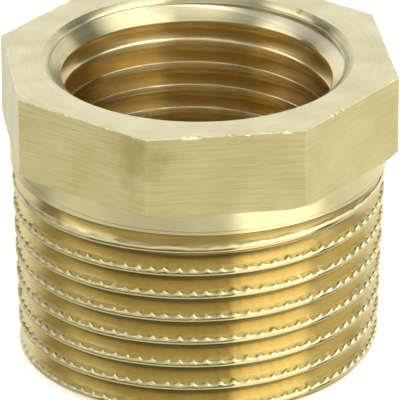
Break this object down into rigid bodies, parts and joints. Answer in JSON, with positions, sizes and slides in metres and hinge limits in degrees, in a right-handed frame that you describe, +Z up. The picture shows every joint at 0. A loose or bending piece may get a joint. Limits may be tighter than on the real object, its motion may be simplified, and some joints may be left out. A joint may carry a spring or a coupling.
{
  "type": "reducing coupling",
  "caption": "Threaded pipe reducing coupling with an octagonal wrench head, a tapered outside thread, a smaller parallel inside thread and an open through bore.",
  "frame": {"origin": "centre of the bottom end, on the thread axis", "axes": "+Z up along the thread axis towards the mouth; wrench flats face +X, -X, +Y and -Y, with the other four between them"},
  "size_m": [0.027, 0.027, 0.0225],
  "materials": {
    "brass": "bare machined brass, satin with fine turning and broaching marks, golden on the thread flanks and paler on the head"
  },
  "bodies": {
    "root": {"reducer_body": "brass"}
  },
  "joints": []
}
